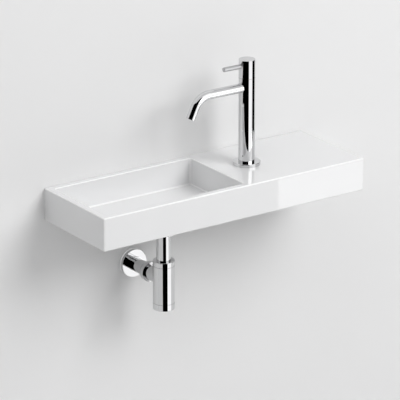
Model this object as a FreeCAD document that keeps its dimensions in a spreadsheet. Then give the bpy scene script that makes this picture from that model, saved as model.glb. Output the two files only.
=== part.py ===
"""Wall-hung hand basin with a pillar tap, a grid waste and a small bottle trap.

Millimetres, +Z up. The origin lies on the wall, midway between the two fixing studs.
+X runs to the right along the wall and +Y runs into it, so the front of the basin faces -Y.
"""
import FreeCAD, Part
import math
import os
import re

import Sketcher

Vector = FreeCAD.Vector
Rotation = FreeCAD.Rotation
Constraint = Sketcher.Constraint

doc = FreeCAD.newDocument("hand_basin")

# Driving dimensions

SIZES = {
    # ceramic basin
    "basin_length": 560,
    "basin_depth": 192,
    "basin_height": 61,
    "rim_width": 13,
    "bowl_length": 290,
    "floor_thickness": 11,
    "bowl_corner_radius": 4.5,
    "bowl_floor_radius": 3,
    "bowl_lip_radius": 2,
    "edge_radius": 2.5,
    "divider_wall": 12,
    "deck_thickness": 12,
    "skirt_wall": 13,
    "hollow_corner_radius": 4,
    # clearances
    "close_gap": 0.05,
    "loose_gap": 0.3,
    "seam_gap": 0.4,
    # wall fixings
    "stud_inset": 31,
    "stud_height": 26,
    "stud_diameter": 10,
    "stud_spare": 10,
    "stud_anchor": 58,
    "stud_shoulder": 3,
    "stud_step": 0.3,
    "stud_tip": 1.5,
    "sleeve_wall": 2.2,
    "sleeve_flange_width": 5,
    "sleeve_flange_thickness": 3,
    "stud_washer_width": 7,
    "stud_washer_thickness": 2,
    "stud_nut_wall": 3.5,
    "stud_nut_height": 8,
    # tap column and foot
    "tap_setback": 65,
    "tap_hole_diameter": 34,
    "column_diameter": 30,
    "column_wall": 4,
    "flange_overhang": 8,
    "flange_height": 6,
    "flange_edge_radius": 1.2,
    "base_seal_width": 3.5,
    "base_seal_thickness": 2,
    "chamber_below_spout": 13,
    "seam_above_spout": 18,
    # spout
    "spout_height": 145,
    "spout_diameter": 17.4,
    "spout_wall": 2.2,
    "spout_tuck": 0.8,
    "spout_run": 83,
    "spout_bend_radius": 32.5,
    "spout_bend_angle": 64.5,
    "spout_tail": 22,
    "aerator_length": 9,
    "aerator_recess": 1,
    "aerator_jet": 2,
    "aerator_jet_ring": 3.6,
    # turning cap and lever
    "cap_height": 33.6,
    "cap_edge_radius": 0.7,
    "cap_roof": 5,
    "lever_below_top": 11.5,
    "lever_diameter": 8.5,
    "lever_reach": 36,
    "lever_seat": 4,
    "lever_stud": 5,
    "lever_edge_radius": 0.6,
    # quarter-turn valve
    "chamber_gap": 2,
    "valve_wall": 1.2,
    "valve_thread_gap": 0.8,
    "valve_collar_width": 1,
    "valve_collar_height": 5,
    "valve_neck_wall": 3.5,
    "valve_neck_height": 8,
    "valve_window_width": 7,
    "disc_thickness": 3.5,
    "disc_film": 0.05,
    "disc_port": 3.2,
    "driver_height": 3,
    "spindle_diameter": 8,
    "spindle_ring_thickness": 1.9,
    "spindle_ring_height": 2.2,
    "seat_seal_width": 2,
    "seat_seal_thickness": 2,
    # tap fixing under the deck
    "shank_bore": 12,
    "shank_wall": 4.65,
    "shank_socket": 12,
    "shank_tail": 31,
    "shank_shoulder": 2,
    "shank_step": 0.2,
    "gasket_overlap": 6,
    "gasket_thickness": 3,
    "deck_washer_overlap": 5,
    "deck_washer_thickness": 2,
    "deck_nut_wall": 2.9,
    "deck_nut_height": 8,
    # waste in the bowl's floor
    "drain_offset": 26,
    "drain_forward": 6,
    "waste_hole_gap": 2.05,
    "waste_recess_depth": 2,
    "waste_recess_gap": 1,
    "waste_flange_overlap": 8.5,
    "waste_flange_thickness": 2.5,
    "waste_edge_radius": 1,
    "waste_seal_thickness": 1,
    "lower_seal_thickness": 3,
    "tail_bore": 35,
    "tail_wall": 3.45,
    "tail_drop": 22,
    "back_nut_wall": 5,
    "back_nut_height": 8,
    "strainer_thickness": 1.5,
    "strainer_ledge": 4.3,
    "strainer_hole": 6,
    "strainer_hole_inset": 5,
    "bridge_width": 8,
    "bridge_height": 5,
    "screw_diameter": 5,
    "screw_head_overlap": 2,
    "screw_head_height": 1.4,
    "screw_length": 8,
    "screw_slot": 1.2,
    # trap
    "pipe_diameter": 26,
    "pipe_wall": 1.4,
    "pipe_insert": 6,
    "union_nut_wall": 4.5,
    "union_nut_lip": 3,
    "union_nut_gap": 1.5,
    "union_seal_thickness": 4,
    "trap_drop": 82,
    "bottle_height": 92,
    "bottle_gap": 4.2,
    "bottle_wall": 2.5,
    "bottle_shoulder": 4,
    "bottle_edge_radius": 0.8,
    "neck_gap": 1.5,
    "neck_wall": 2.5,
    "top_nut_height": 9.4,
    "top_nut_lip": 2,
    "top_seal_thickness": 2,
    "bottle_cap_height": 12,
    "cap_plug_length": 8,
    "cap_plug_wall": 2.6,
    "cap_floor": 4,
    "cap_ring_depth": 1.6,
    "cap_ring_height": 2.2,
    "cap_ring_offset": 1.5,
    "dip_clearance": 20,
    # trap outlet
    "outlet_below_top": 36,
    "outlet_nut_start": 40.5,
    "outlet_nut_length": 11.5,
    "outlet_nut_wall": 3.9,
    "outlet_nut_lip": 3,
    "outlet_nut_edge_radius": 3.5,
    "outlet_seal_thickness": 3,
    "outlet_socket": 18,
    "outlet_boss_wall": 1.5,
    "wall_pipe": 45,
    "wall_pipe_end": 40,
    "wall_pipe_step": 0.2,
    # wall rosette
    "rosette_diameter": 52.6,
    "rosette_height": 8,
    "rosette_wall": 1.6,
    "rosette_edge_radius": 0.8,
    "rosette_collar_wall": 3.6,
    "rosette_collar_gap": 2.5,
    "rosette_ring_thickness": 1.9,
    "rosette_ring_height": 2.2,
}
JET_COUNT = 6
STRAINER_HOLES = 8

sizes = doc.addObject("Spreadsheet::Sheet", "sizes")
for row, (alias, value) in enumerate(SIZES.items(), start=1):
    sizes.set(f"A{row}", alias)
    sizes.set(f"B{row}", str(value))
    sizes.setAlias(f"B{row}", alias)
doc.recompute()

# Places and radii shared by several pieces, worked out from the driving dimensions

BOWL_RIGHT = "(rim_width + bowl_length)"
HOLLOW_LEFT = f"({BOWL_RIGHT} + divider_wall)"
HOLLOW_RIGHT = "(basin_length - skirt_wall)"
BASIN_LEFT = f"(-({HOLLOW_LEFT} + {HOLLOW_RIGHT}) / 2)"
UNDERSIDE = "(-stud_height)"
DECK = "(basin_height - stud_height)"
MID_DEPTH = "(-basin_depth / 2)"

TAP_X = f"({BASIN_LEFT} + {BOWL_RIGHT} + tap_setback)"
COLUMN_RADIUS = "(column_diameter / 2)"
CHAMBER_RADIUS = f"({COLUMN_RADIUS} - column_wall)"
VALVE_RADIUS = f"({CHAMBER_RADIUS} - chamber_gap)"
WATER_RADIUS = f"({VALVE_RADIUS} - seat_seal_width)"
SHANK_RADIUS = "(shank_bore / 2 + shank_wall)"
COLUMN_TOP = f"({DECK} + spout_height + seam_above_spout)"
VALVE_SEAT = f"({DECK} + spout_height - chamber_below_spout)"
CAP_BASE = f"({COLUMN_TOP} + seam_gap)"
SPINDLE_RADIUS = "(spindle_diameter / 2)"
SPINDLE_BORE = f"({SPINDLE_RADIUS} + close_gap)"

DRAIN_X = f"({BASIN_LEFT} + rim_width + bowl_length / 2 + drain_offset)"
TRAP_REACH = "(basin_depth / 2 + drain_forward)"
DRAIN_Y = f"(-{TRAP_REACH})"
TAIL_RADIUS = "(tail_bore / 2 + tail_wall)"
TAIL_BASE = f"({UNDERSIDE} - tail_drop)"
WASTE_HOLE_RADIUS = f"({TAIL_RADIUS} + waste_hole_gap)"
WASTE_RADIUS = f"({WASTE_HOLE_RADIUS} + waste_flange_overlap)"
WASTE_SEAT = "(floor_thickness - waste_recess_depth)"
PIPE_RADIUS = "(pipe_diameter / 2)"
PIPE_BORE = f"({PIPE_RADIUS} - pipe_wall)"
PIPE_HOLE = f"({PIPE_RADIUS} + close_gap)"
BOTTLE_BORE = f"({PIPE_RADIUS} + bottle_gap)"
BOTTLE_RADIUS = f"({BOTTLE_BORE} + bottle_wall)"
BOTTLE_TOP = f"({UNDERSIDE} - trap_drop)"
BOTTLE_BOTTOM = f"({BOTTLE_TOP} - bottle_height)"
OUTLET_HEIGHT = f"({BOTTLE_TOP} - outlet_below_top)"

# Drawing helpers


def in_sheet(formula):
    """Write a formula of sizes as an expression that reads the sheet's cells."""
    return re.sub(r"[a-z_]+", lambda word: f"sizes.{word[0]}" if word[0] in SIZES else word[0], formula)


def amount(formula):
    """The number that a formula of sizes stands for."""
    return float(sizes.evalExpression(in_sheet(formula)))


def bind(item, path, formula):
    item.setExpression(path, in_sheet(formula))


UPRIGHT = Rotation()
TO_WALL = Rotation(Vector(1, 0, 0), -90)
FROM_WALL = Rotation(Vector(1, 0, 0), 90)
TO_LEFT = Rotation(Vector(0, 1, 0), -90)
LEFT_AND_DOWN = Rotation(Vector(0, 1, 0), 180)


def new_body(name, x, y, z, turn=UPRIGHT):
    """An empty body whose origin stands at x, y, z, with its own Z axis along the turned one."""
    body = doc.addObject("PartDesign::Body", name)
    body.Label = name
    body.Placement = FreeCAD.Placement(Vector(), turn)
    bind(body, "Placement.Base.x", x)
    bind(body, "Placement.Base.y", y)
    bind(body, "Placement.Base.z", z)
    return body


def new_sketch(body, name, plane, offset="0"):
    """A sketch on one of the body's own origin planes, moved along the plane's normal."""
    sketch = body.newObject("Sketcher::SketchObject", f"{body.Name}_{name}")
    planes = {feature.Role: feature for feature in body.Origin.OriginFeatures}
    sketch.AttachmentSupport = [(planes[plane], "")]
    sketch.MapMode = "FlatFace"
    if offset != "0":
        bind(sketch, "AttachmentOffset.Base.z", offset)
    return sketch


def hold(sketch, kind, items, formula):
    """Add one dimension to a sketch and bind it to a formula."""
    number = sketch.addConstraint(Constraint(kind, *items, amount(formula)))
    bind(sketch, f"Constraints[{number}]", formula)


def pin_point(sketch, line, end, x, y):
    """Fix a line's end at x, y, where the text 0 lays it on the sketch's axis."""
    if x == "0":
        sketch.addConstraint(Constraint("PointOnObject", line, end, -2))
    else:
        hold(sketch, "DistanceX", (-1, 1, line, end), x)
    if y == "0":
        sketch.addConstraint(Constraint("PointOnObject", line, end, -1))
    else:
        hold(sketch, "DistanceY", (-1, 1, line, end), y)


def draw_outline(sketch, corners):
    """A closed outline of straight sides through corners given as pairs of formulas."""
    points = [Vector(amount(x), amount(y), 0) for x, y in corners]
    count = len(points)
    for index in range(count):
        sketch.addGeometry(Part.LineSegment(points[index], points[(index + 1) % count]))
    for index in range(count):
        sketch.addConstraint(Constraint("Coincident", index, 2, (index + 1) % count, 1))
    for index, (x, y) in enumerate(corners):
        pin_point(sketch, index, 1, x, y)


def draw_rectangle(sketch, x_low, x_high, y_low, y_high):
    draw_outline(sketch, [(x_low, y_low), (x_high, y_low), (x_high, y_high), (x_low, y_high)])


def draw_circle(sketch, radius, x="0", y="0"):
    centre = Vector(amount(x), amount(y), 0)
    index = sketch.addGeometry(Part.Circle(centre, Vector(0, 0, 1), amount(radius)))
    hold(sketch, "Radius", (index,), radius)
    pin_point(sketch, index, 3, x, y)


def draw_hexagon(sketch, inner):
    """A regular hexagon about a circle of the inner radius, with two flats square to the X axis."""
    side = f"({inner}) * tan(30 deg)"
    corner = f"({inner}) / cos(30 deg)"
    low = f"-({inner})"
    draw_outline(sketch, [(inner, f"-{side}"), (inner, side), ("0", corner),
                          (low, side), (low, f"-{side}"), ("0", f"-{corner}")])


def add(body, kind, sketch, name, **values):
    """Add a sketched feature. A text value is a formula that is bound to its property."""
    feature = body.newObject(f"PartDesign::{kind}", f"{body.Name}_{name}")
    feature.Profile = sketch
    for key, value in values.items():
        if isinstance(value, str):
            bind(feature, key, value)
        else:
            setattr(feature, key, value)
    doc.recompute()
    return feature


def spin(body, kind, name, outline):
    """Turn an outline of radius and height pairs about the body's Z axis, as on a lathe."""
    sketch = new_sketch(body, f"{name}_outline", "XZ_Plane")
    draw_outline(sketch, outline)
    return add(body, kind, sketch, name, ReferenceAxis=(sketch, ["V_Axis"]), Angle=360.0)


def turned(name, outline, x, y, z, turn=UPRIGHT):
    """A lathe-turned piece."""
    body = new_body(name, x, y, z, turn)
    spin(body, "Revolution", "turning", outline)
    return body


def ring(name, inner, outer, height, x, y, z, turn=UPRIGHT):
    """A plain flat ring, standing on its own base."""
    return turned(name, [(inner, "0"), (outer, "0"), (outer, height), (inner, height)], x, y, z, turn)


def hexagon_nut(name, bore, wall, height, x, y, z, turn=UPRIGHT):
    """A hexagon nut with its thread drawn as a plain bore and its wall measured at the flats."""
    body = new_body(name, x, y, z, turn)
    outline = new_sketch(body, "hexagon", "XY_Plane")
    draw_hexagon(outline, f"{bore} + {wall}")
    add(body, "Pad", outline, "nut", Length=height)
    hole = new_sketch(body, "thread", "XY_Plane")
    draw_circle(hole, f"{bore} + close_gap")
    add(body, "Pocket", hole, "thread_cut", Length=height, Reversed=True)
    return body


def repeat_round(body, feature, sketch, count):
    """Repeat a cut evenly about the axis square to its sketch."""
    pattern = body.newObject("PartDesign::PolarPattern", f"{body.Name}_pattern")
    pattern.Originals = [feature]
    pattern.Axis = (sketch, ["N_Axis"])
    pattern.Angle = 360.0
    pattern.Occurrences = count
    body.Tip = pattern
    doc.recompute()


def round_edges(body, radius, wanted):
    """Round the edges that a test on their geometry picks out."""
    tip = body.Tip
    names = [f"Edge{number}" for number, edge in enumerate(tip.Shape.Edges, start=1) if wanted(edge)]
    if not names:
        raise ValueError(f"{body.Name}: no edge to round")
    fillet = body.newObject("PartDesign::Fillet", f"{body.Name}_round{len(body.Group)}")
    fillet.Base = (tip, names)
    bind(fillet, "Radius", radius)
    doc.recompute()


def near(value, formula):
    return abs(value - amount(formula)) < 1e-6


def circle_at(radius, height):
    """A test for the full circle of one radius at one height about the body's Z axis."""
    def test(edge):
        if not isinstance(edge.Curve, Part.Circle):
            return False
        centre = edge.Curve.Center
        on_axis = math.hypot(centre.x, centre.y) < 1e-6
        return on_axis and near(edge.Curve.Radius, radius) and near(centre.z, height)
    return test


def pair(name, left):
    """A piece and its mirror image across the middle of the two wall studs, as one node."""
    right = doc.addObject("Part::Mirroring", f"{name}_right")
    right.Source = left
    right.Normal = Vector(1, 0, 0)
    both = doc.addObject("Part::Compound", name)
    both.Links = [left, right]
    both.Label = name
    doc.recompute()
    return both


nodes = []

# Basin: one ceramic casting with a bowl on the left and a tap deck over a hollow on the right

basin = new_body("basin_body", BASIN_LEFT, "0", UNDERSIDE)
hollow_height = "(basin_height - deck_thickness)"

block = new_sketch(basin, "block", "XY_Plane")
draw_rectangle(block, "0", "basin_length", "-basin_depth", "0")
add(basin, "Pad", block, "casting", Length="basin_height")
round_edges(basin, "edge_radius", lambda edge: not near(edge.CenterOfMass.y, "0"))

bowl = new_sketch(basin, "bowl", "XY_Plane", "basin_height")
draw_rectangle(bowl, "rim_width", BOWL_RIGHT, "-basin_depth + rim_width", "-rim_width")
add(basin, "Pocket", bowl, "bowl_cut", Length="basin_height - floor_thickness")


def in_bowl(point):
    past_left = point.x > amount("rim_width") - 1e-6
    before_right = point.x < amount(BOWL_RIGHT) + 1e-6
    between = amount("-basin_depth + rim_width") - 1e-6 < point.y < amount("-rim_width") + 1e-6
    return past_left and before_right and between


def bowl_edges_at(height):
    """A test for the bowl's edges whose middle lies at one height."""
    return lambda edge: in_bowl(edge.CenterOfMass) and near(edge.CenterOfMass.z, height)


round_edges(basin, "bowl_corner_radius", bowl_edges_at("(basin_height + floor_thickness) / 2"))
round_edges(basin, "bowl_floor_radius", bowl_edges_at("floor_thickness"))
round_edges(basin, "bowl_lip_radius", bowl_edges_at("basin_height"))

hollow = new_sketch(basin, "hollow", "XY_Plane")
draw_rectangle(hollow, HOLLOW_LEFT, HOLLOW_RIGHT, "-basin_depth + skirt_wall", "-skirt_wall")
add(basin, "Pocket", hollow, "hollow_cut", Length=hollow_height, Reversed=True)


def hollow_upright(edge):
    middle = edge.CenterOfMass
    at_side = near(middle.x, HOLLOW_LEFT) or near(middle.x, HOLLOW_RIGHT)
    return at_side and near(middle.z, f"{hollow_height} / 2") and near(edge.Length, hollow_height)


round_edges(basin, "hollow_corner_radius", hollow_upright)

tap_hole = new_sketch(basin, "tap_hole", "XY_Plane", "basin_height")
draw_circle(tap_hole, "tap_hole_diameter / 2", f"{BOWL_RIGHT} + tap_setback", MID_DEPTH)
add(basin, "Pocket", tap_hole, "tap_hole_cut", Length="basin_height")

waste_recess = new_sketch(basin, "waste_recess", "XY_Plane", "basin_height")
waste_hole = new_sketch(basin, "waste_hole", "XY_Plane", "basin_height")
drain_across = "rim_width + bowl_length / 2 + drain_offset"
draw_circle(waste_recess, f"{WASTE_RADIUS} + waste_recess_gap", drain_across, DRAIN_Y)
draw_circle(waste_hole, WASTE_HOLE_RADIUS, drain_across, DRAIN_Y)
add(basin, "Pocket", waste_recess, "waste_recess_cut", Length=f"basin_height - {WASTE_SEAT}")
add(basin, "Pocket", waste_hole, "waste_hole_cut", Length="basin_height")

SLEEVE_RADIUS = "(stud_diameter / 2 + sleeve_wall)"
stud_holes = new_sketch(basin, "stud_holes", "XZ_Plane")
for across in (f"{HOLLOW_LEFT} + stud_inset", f"{HOLLOW_RIGHT} - stud_inset"):
    draw_circle(stud_holes, f"{SLEEVE_RADIUS} + 2 * close_gap", across, "stud_height")
add(basin, "Pocket", stud_holes, "stud_holes_cut", Length="1.5 * skirt_wall", Reversed=True)
nodes.append(basin)

# Wall fixings: two studs through the back of the hollow, each with sleeve, washer and nut

STUD_X = f"({BASIN_LEFT} + {HOLLOW_LEFT} + stud_inset)"
STUD_RADIUS = "(stud_diameter / 2)"
SLEEVE_FACE = "(skirt_wall + sleeve_flange_thickness)"
WASHER_FACE = f"({SLEEVE_FACE} + stud_washer_thickness)"
NUT_FACE = f"({WASHER_FACE} + stud_nut_height)"
STUD_END = f"({NUT_FACE} + stud_spare)"
stud_length = f"({STUD_END} + stud_anchor)"
stud_neck = f"({STUD_END} + stud_shoulder)"
anchor_radius = f"({STUD_RADIUS} - stud_step)"

stud = turned("wall_stud", [("0", "0"), (f"{STUD_RADIUS} - stud_tip", "0"), (STUD_RADIUS, "stud_tip"),
                            (STUD_RADIUS, stud_neck), (anchor_radius, stud_neck),
                            (anchor_radius, f"{stud_length} - 2 * stud_tip"),
                            (f"{anchor_radius} - stud_tip", stud_length), ("0", stud_length)],
              STUD_X, f"-{STUD_END}", "0", TO_WALL)
nodes.append(pair("wall_studs", stud))

sleeve_bore = f"({STUD_RADIUS} + close_gap)"
sleeve_flange = f"({SLEEVE_RADIUS} + sleeve_flange_width)"
sleeve_length = f"({SLEEVE_FACE} - loose_gap)"
sleeve = turned("stud_sleeve", [(sleeve_bore, "0"), (sleeve_flange, "0"),
                                (sleeve_flange, "sleeve_flange_thickness"),
                                (SLEEVE_RADIUS, "sleeve_flange_thickness"),
                                (SLEEVE_RADIUS, sleeve_length), (sleeve_bore, sleeve_length)],
                STUD_X, f"-{SLEEVE_FACE}", "0", TO_WALL)
nodes.append(pair("stud_sleeves", sleeve))

washer = ring("stud_washer", f"{STUD_RADIUS} + loose_gap", f"{STUD_RADIUS} + stud_washer_width",
              "stud_washer_thickness", STUD_X, f"-{WASHER_FACE}", "0", TO_WALL)
nodes.append(pair("stud_washers", washer))

stud_nut = hexagon_nut("stud_nut", STUD_RADIUS, "stud_nut_wall", "stud_nut_height",
                       STUD_X, f"-{NUT_FACE}", "0", TO_WALL)
nodes.append(pair("stud_nuts", stud_nut))

# Tap foot: a round flange on the deck with a seal in its underside

FLANGE_RADIUS = "(tap_hole_diameter / 2 + flange_overhang)"
SEAL_MIDDLE = f"((tap_hole_diameter / 2 + {FLANGE_RADIUS}) / 2)"
seal_inner = f"({SEAL_MIDDLE} - base_seal_width / 2)"
seal_outer = f"({SEAL_MIDDLE} + base_seal_width / 2)"
groove_inner = f"({seal_inner} - close_gap)"
groove_outer = f"({seal_outer} + close_gap)"
flange_bore = f"({SHANK_RADIUS} + loose_gap)"

flange = turned("base_flange", [(flange_bore, "0"), (groove_inner, "0"),
                                (groove_inner, "base_seal_thickness"), (groove_outer, "base_seal_thickness"),
                                (groove_outer, "0"), (FLANGE_RADIUS, "0"),
                                (FLANGE_RADIUS, "flange_height"), (flange_bore, "flange_height")],
                TAP_X, MID_DEPTH, DECK)
round_edges(flange, "flange_edge_radius", circle_at(FLANGE_RADIUS, "flange_height"))
nodes.append(flange)
nodes.append(ring("base_seal", seal_inner, seal_outer, "base_seal_thickness", TAP_X, MID_DEPTH, DECK))

# Tap column: a bored bar with the valve's chamber at the top and the spout's socket in its side

column_height = "(spout_height + seam_above_spout - flange_height)"
seat_height = "(spout_height - chamber_below_spout - flange_height)"
socket_radius = f"({SHANK_RADIUS} + close_gap)"

column = turned("tap_body", [(socket_radius, "0"), (COLUMN_RADIUS, "0"), (COLUMN_RADIUS, column_height),
                             (CHAMBER_RADIUS, column_height), (CHAMBER_RADIUS, seat_height),
                             (WATER_RADIUS, seat_height), (WATER_RADIUS, "shank_socket"),
                             (socket_radius, "shank_socket")],
                TAP_X, MID_DEPTH, f"{DECK} + flange_height")
spout_socket = new_sketch(column, "spout_socket", "YZ_Plane")
draw_circle(spout_socket, "spout_diameter / 2 + close_gap", "0", "spout_height - flange_height")
add(column, "Pocket", spout_socket, "spout_socket_cut", Length="column_diameter")
nodes.append(column)

# Spout: one tube, straight out of the column, bent down, with a short straight end

SPOUT_ROOT = f"({CHAMBER_RADIUS} - spout_tuck)"
SPOUT_BORE = "(spout_diameter / 2 - spout_wall)"


def spout_path(body):
    """The tube's middle line: a straight run, an arc and a straight tail, tangent to each other."""
    path = new_sketch(body, "path", "XZ_Plane")
    run = amount(f"spout_run - {SPOUT_ROOT}")
    bend = amount("spout_bend_radius")
    angle = math.radians(amount("spout_bend_angle"))
    bend_end = Vector(run + bend * math.sin(angle), bend - bend * math.cos(angle), 0)
    tail_end = bend_end + Vector(math.cos(angle), math.sin(angle), 0) * amount("spout_tail")
    circle = Part.Circle(Vector(run, bend, 0), Vector(0, 0, 1), bend)
    path.addGeometry(Part.LineSegment(Vector(0, 0, 0), Vector(run, 0, 0)))
    path.addGeometry(Part.ArcOfCircle(circle, -math.pi / 2, angle - math.pi / 2))
    path.addGeometry(Part.LineSegment(bend_end, tail_end))
    path.addConstraint(Constraint("Coincident", 0, 1, -1, 1))
    path.addConstraint(Constraint("Horizontal", 0))
    path.addConstraint(Constraint("Tangent", 0, 2, 1, 1))
    path.addConstraint(Constraint("Tangent", 1, 2, 2, 1))
    hold(path, "DistanceX", (0, 1, 0, 2), f"spout_run - {SPOUT_ROOT}")
    hold(path, "Radius", (1,), "spout_bend_radius")
    number = path.addConstraint(Constraint("Angle", 0, 1, 2, 1, angle))
    bind(path, f"Constraints[{number}]", "spout_bend_angle")
    hold(path, "Distance", (2,), "spout_tail")
    return path


spout = new_body("spout_tube", f"{TAP_X} - {SPOUT_ROOT}", MID_DEPTH, f"{DECK} + spout_height", LEFT_AND_DOWN)
middle_line = spout_path(spout)
for kind, radius in (("AdditivePipe", "spout_diameter / 2"), ("SubtractivePipe", SPOUT_BORE)):
    section = new_sketch(spout, f"{kind}_section", "YZ_Plane")
    draw_circle(section, radius)
    add(spout, kind, section, kind, Spine=(middle_line, ["Edge1", "Edge2", "Edge3"]))
nodes.append(spout)

# Flow straightener in the spout's end: a plug with a ring of small jets

BEND = "(spout_bend_angle * 1 deg)"
plug_back = "(spout_tail - aerator_recess - aerator_length)"
plug_out = f"(spout_run + spout_bend_radius * sin({BEND}) + {plug_back} * cos({BEND}))"
plug_drop = f"(spout_bend_radius * (1 - cos({BEND})) + {plug_back} * sin({BEND}))"

aerator = new_body("spout_aerator", f"{TAP_X} - {plug_out}", MID_DEPTH,
                   f"{DECK} + spout_height - {plug_drop}", Rotation(Vector(0, -1, 0), 90))
bind(aerator, "Placement.Rotation.Angle", "90 + spout_bend_angle")
plug = new_sketch(aerator, "plug", "XY_Plane")
draw_circle(plug, f"{SPOUT_BORE} - close_gap")
add(aerator, "Pad", plug, "plug_body", Length="aerator_length")
jet = new_sketch(aerator, "jet", "XY_Plane")
draw_circle(jet, "aerator_jet / 2", "aerator_jet_ring")
jet_cut = add(aerator, "Pocket", jet, "jet_cut", Length="aerator_length", Reversed=True)
repeat_round(aerator, jet_cut, jet, JET_COUNT)
nodes.append(aerator)

# Quarter-turn valve: a screwed-in housing that holds two ceramic discs and a spindle

VALVE_BASE = f"({VALVE_SEAT} + seat_seal_thickness)"
TURNING_BASE = f"({VALVE_BASE} + disc_thickness + disc_film)"
DRIVER_BASE = f"({TURNING_BASE} + disc_thickness)"
DISC_BORE = f"({VALVE_RADIUS} - valve_wall)"
DISC_RADIUS = f"({DISC_BORE} - loose_gap)"
valve_thread = f"({CHAMBER_RADIUS} - close_gap)"
valve_top = "(chamber_below_spout + seam_above_spout - seat_seal_thickness)"
thread_base = "(chamber_below_spout - seat_seal_thickness + spout_diameter / 2 + valve_thread_gap)"
collar_radius = f"({CHAMBER_RADIUS} + valve_collar_width)"
collar_top = f"({valve_top} + valve_collar_height)"
valve_neck = f"({SPINDLE_RADIUS} + valve_neck_wall)"
valve_neck_top = f"({collar_top} + valve_neck_height)"
disc_chamber = "(2 * disc_thickness + disc_film + driver_height + 2 * close_gap)"
ring_base = f"({collar_top} + (valve_neck_height - spindle_ring_height) / 2)"
ring_top = f"({ring_base} + spindle_ring_height)"
ring_groove = f"({SPINDLE_BORE} + spindle_ring_thickness)"

valve = turned("valve_body", [(DISC_BORE, "0"), (VALVE_RADIUS, "0"), (VALVE_RADIUS, thread_base),
                              (valve_thread, thread_base), (valve_thread, valve_top),
                              (collar_radius, valve_top), (collar_radius, collar_top),
                              (valve_neck, collar_top), (valve_neck, valve_neck_top),
                              (SPINDLE_BORE, valve_neck_top), (SPINDLE_BORE, ring_top),
                              (ring_groove, ring_top), (ring_groove, ring_base),
                              (SPINDLE_BORE, ring_base), (SPINDLE_BORE, disc_chamber),
                              (DISC_BORE, disc_chamber)],
               TAP_X, MID_DEPTH, VALVE_BASE)
window = new_sketch(valve, "window", "YZ_Plane")
draw_rectangle(window, "-valve_window_width / 2", "valve_window_width / 2",
               "disc_thickness", "2 * disc_thickness + driver_height / 2")
add(valve, "Pocket", window, "window_cut", Length="column_diameter", Midplane=True)
nodes.append(valve)

nodes.append(ring("spindle_ring", SPINDLE_BORE, f"{ring_groove} - close_gap",
                  "spindle_ring_height - 2 * close_gap",
                  TAP_X, MID_DEPTH, f"{VALVE_BASE} + {ring_base} + close_gap"))
nodes.append(ring("valve_seat_seal", WATER_RADIUS, f"{VALVE_RADIUS} - loose_gap", "seat_seal_thickness",
                  TAP_X, MID_DEPTH, VALVE_SEAT))


def ceramic_disc(name, radius, z, ports):
    """A lapped disc with a port on each side of its middle."""
    body = new_body(name, TAP_X, MID_DEPTH, z)
    face = new_sketch(body, "face", "XY_Plane")
    draw_circle(face, radius)
    add(body, "Pad", face, "disc", Length="disc_thickness")
    holes = new_sketch(body, "ports", "XY_Plane")
    for x, y in ports:
        draw_circle(holes, "disc_port / 2", x, y)
    add(body, "Pocket", holes, "ports_cut", Length="disc_thickness", Reversed=True)
    return body


port_out = f"{DISC_RADIUS} / 2"
nodes.append(ceramic_disc("fixed_disc", f"{DISC_BORE} - close_gap", VALVE_BASE,
                          [("0", port_out), ("0", f"-{port_out}")]))
nodes.append(ceramic_disc("turning_disc", DISC_RADIUS, TURNING_BASE,
                          [(port_out, "0"), (f"-{port_out}", "0")]))

spindle_top = f"({CAP_BASE} + cap_height - cap_roof - loose_gap)"
spindle_length = f"({spindle_top} - {DRIVER_BASE})"
nodes.append(turned("valve_spindle", [("0", "0"), (DISC_RADIUS, "0"), (DISC_RADIUS, "driver_height"),
                                      (SPINDLE_RADIUS, "driver_height"), (SPINDLE_RADIUS, spindle_length),
                                      ("0", spindle_length)],
                    TAP_X, MID_DEPTH, DRIVER_BASE))

# Turning cap with its lever: a cup over the valve's neck, locked to the spindle by the lever's stud

hub_base = "(valve_collar_height + valve_neck_height + seam_gap)"
hub_top = "(cap_height - cap_roof)"
cap_hollow = f"({collar_radius} + 2 * loose_gap)"
lever_level = "(cap_height - lever_below_top)"
lever_bottom = f"({COLUMN_RADIUS} - lever_seat)"
lever_radius = "(lever_diameter / 2)"
lever_stud_radius = "(lever_stud / 2)"

cap = turned("tap_cap", [(cap_hollow, "0"), (COLUMN_RADIUS, "0"), (COLUMN_RADIUS, "cap_height"),
                         ("0", "cap_height"), ("0", hub_top), (SPINDLE_BORE, hub_top),
                         (SPINDLE_BORE, hub_base), (cap_hollow, hub_base)],
             TAP_X, MID_DEPTH, CAP_BASE)
round_edges(cap, "cap_edge_radius", circle_at(COLUMN_RADIUS, "cap_height"))
stud_thread = new_sketch(cap, "stud_thread", "YZ_Plane")
draw_circle(stud_thread, f"{lever_stud_radius} + close_gap", "0", lever_level)
add(cap, "Pocket", stud_thread, "stud_thread_cut", Length="column_diameter")
lever_seat = new_sketch(cap, "lever_seat", "YZ_Plane", f"-{lever_bottom}")
draw_circle(lever_seat, f"{lever_radius} + close_gap", "0", lever_level)
add(cap, "Pocket", lever_seat, "lever_seat_cut", Length="column_diameter")
nodes.append(cap)

lever_shoulder = f"({lever_bottom} - {SPINDLE_BORE})"
lever_length = f"({COLUMN_RADIUS} + lever_reach - {SPINDLE_BORE})"
lever = turned("lever_pin", [("0", "0"), (lever_stud_radius, "0"), (lever_stud_radius, lever_shoulder),
                             (lever_radius, lever_shoulder), (lever_radius, lever_length),
                             ("0", lever_length)],
               f"{TAP_X} - {SPINDLE_BORE}", MID_DEPTH, f"{CAP_BASE} + {lever_level}", TO_LEFT)
round_edges(lever, "lever_edge_radius", circle_at(lever_radius, lever_length))
nodes.append(lever)

# Tap fixing: a threaded shank through the deck, pulled up by a nut from inside the hollow

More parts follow.
